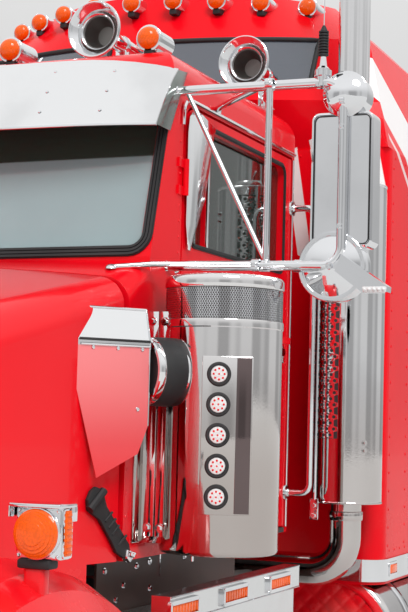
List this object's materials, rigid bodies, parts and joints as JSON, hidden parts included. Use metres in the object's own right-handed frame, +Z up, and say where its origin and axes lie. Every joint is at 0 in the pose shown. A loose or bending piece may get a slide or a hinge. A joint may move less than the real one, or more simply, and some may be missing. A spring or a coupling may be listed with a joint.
{
  "type": "semi truck tractor unit",
  "caption": "Long-bonnet road tractor with day cab, separate raised-roof sleeper, stacks, tilting bonnet, opening doors, steered front wheels and tandem dual drive wheels.",
  "frame": {"origin": "bottom centre of the bounding box, on the ground", "axes": "+Z up, front faces -Y, driver's side is +X"},
  "size_m": [3.184, 8.2, 4.05],
  "materials": {
    "red_paint": "gloss",
    "chrome": "polished",
    "polished_aluminium": "polished",
    "frame_paint": "satin",
    "tyre": "matte",
    "glass": "gloss",
    "rubber": "matte",
    "lamp_lens": "gloss",
    "cab_trim": "satin",
    "leather": "satin",
    "cast_metal": "matte",
    "bunk_fabric": "matte"
  },
  "bodies": {
    "chassis": {"air_cleaners": "chrome", "air_horns": "chrome", "air_tanks": "frame_paint", "bumper": "chrome", "bunk": "bunk_fabric", "cab_back": "red_paint", "cab_cowl": "red_paint", "cab_floor": "frame_paint", "cab_roof": "red_paint", "crossmembers": "frame_paint", "dashboard": "cab_trim", "drive_axles": "cast_metal", "engine": "cast_metal", "exhausts": "chrome", "fifth_wheel_base": "frame_paint", "frame_rails": "frame_paint", "front_axle": "cast_metal", "fuel_tanks": "polished_aluminium", "radiator": "frame_paint", "roof_lamps": "lamp_lens", "seats": "leather", "side_mirrors": "chrome", "sleeper_boot": "rubber", "sleeper_floor": "frame_paint", "sleeper_front": "red_paint", "sleeper_glass": "glass", "sleeper_rear": "red_paint", "sleeper_roof": "red_paint", "sleeper_sides": "red_paint", "steering_wheel": "cab_trim", "step_boxes": "polished_aluminium", "tail_bar": "frame_paint", "visor": "chrome", "windshield": "glass"},
    "hood": {"hood": "red_paint", "hood_deflectors": "chrome", "grille": "chrome", "fenders": "red_paint", "headlamps": "chrome", "indicators": "chrome"},
    "door_left": {"door_left": "red_paint", "door_glass_left": "glass"},
    "door_right": {"door_right": "red_paint", "door_glass_right": "glass"},
    "knuckle_left": {"knuckle_left": "cast_metal"},
    "knuckle_right": {"knuckle_right": "cast_metal"},
    "tie_rod": {"tie_rod": "cast_metal"},
    "fifth_wheel": {"fifth_wheel": "cast_metal"},
    "wheel_front_left": {"rim_front_left": "polished_aluminium", "tyre_front_left": "tyre"},
    "wheels_drive1_left": {"rim_drive1_left": "polished_aluminium", "tyres_drive1_left": "tyre"},
    "wheels_drive2_left": {"rim_drive2_left": "polished_aluminium", "tyres_drive2_left": "tyre"},
    "wheel_front_right": {"rim_front_right": "polished_aluminium", "tyre_front_right": "tyre"},
    "wheels_drive1_right": {"rim_drive1_right": "polished_aluminium", "tyres_drive1_right": "tyre"},
    "wheels_drive2_right": {"rim_drive2_right": "polished_aluminium", "tyres_drive2_right": "tyre"}
  },
  "joints": [
    {"name": "hood_tilt", "type": "hinge", "parent": "chassis", "child": "hood", "pos_m": [0, -3.95, 0.74], "axis": [1, 0, 0], "range_deg": [0, 75]},
    {"name": "door_left_hinge", "type": "hinge", "parent": "chassis", "child": "door_left", "pos_m": [0.89, -1.88, 1.9], "axis": [0, 0, -1], "range_deg": [0, 60]},
    {"name": "door_right_hinge", "type": "hinge", "parent": "chassis", "child": "door_right", "pos_m": [-0.89, -1.88, 1.9], "axis": [0, 0, 1], "range_deg": [0, 60]},
    {"name": "steer_left", "type": "hinge", "parent": "chassis", "child": "knuckle_left", "pos_m": [0.89, -3.2, 0.52], "axis": [0, 0, 1], "range_deg": [-35, 35]},
    {"name": "steer_right", "type": "hinge", "parent": "chassis", "child": "knuckle_right", "pos_m": [-0.89, -3.2, 0.52], "axis": [0, 0, 1], "range_deg": [-35, 35]},
    {"name": "tie_rod_slide", "type": "slide", "parent": "chassis", "child": "tie_rod", "axis": [1, 0, 0], "range_m": [-0.0753, 0.0753]},
    {"name": "fifth_wheel_tilt", "type": "hinge", "parent": "chassis", "child": "fifth_wheel", "pos_m": [0, 2.65, 1.11], "axis": [1, 0, 0], "range_deg": [-8, 12]},
    {"name": "wheel_front_left_spin", "type": "hinge", "parent": "knuckle_left", "child": "wheel_front_left", "pos_m": [1.03, -3.2, 0.52], "axis": [1, 0, 0], "continuous": true},
    {"name": "wheels_drive1_left_spin", "type": "hinge", "parent": "chassis", "child": "wheels_drive1_left", "pos_m": [0.909, 2.14, 0.52], "axis": [1, 0, 0], "continuous": true},
    {"name": "wheels_drive2_left_spin", "type": "hinge", "parent": "chassis", "child": "wheels_drive2_left", "pos_m": [0.909, 3.46, 0.52], "axis": [1, 0, 0], "continuous": true},
    {"name": "wheel_front_right_spin", "type": "hinge", "parent": "knuckle_right", "child": "wheel_front_right", "pos_m": [-1.03, -3.2, 0.52], "axis": [1, 0, 0], "continuous": true},
    {"name": "wheels_drive1_right_spin", "type": "hinge", "parent": "chassis", "child": "wheels_drive1_right", "pos_m": [-0.909, 2.14, 0.52], "axis": [1, 0, 0], "continuous": true},
    {"name": "wheels_drive2_right_spin", "type": "hinge", "parent": "chassis", "child": "wheels_drive2_right", "pos_m": [-0.909, 3.46, 0.52], "axis": [1, 0, 0], "continuous": true}
  ],
  "couplings": [
    {"joint": "steer_right", "follows": "steer_left", "ratio": 1},
    {"joint": "tie_rod_slide", "follows": "steer_left", "m_per_rad": -0.122}
  ]
}
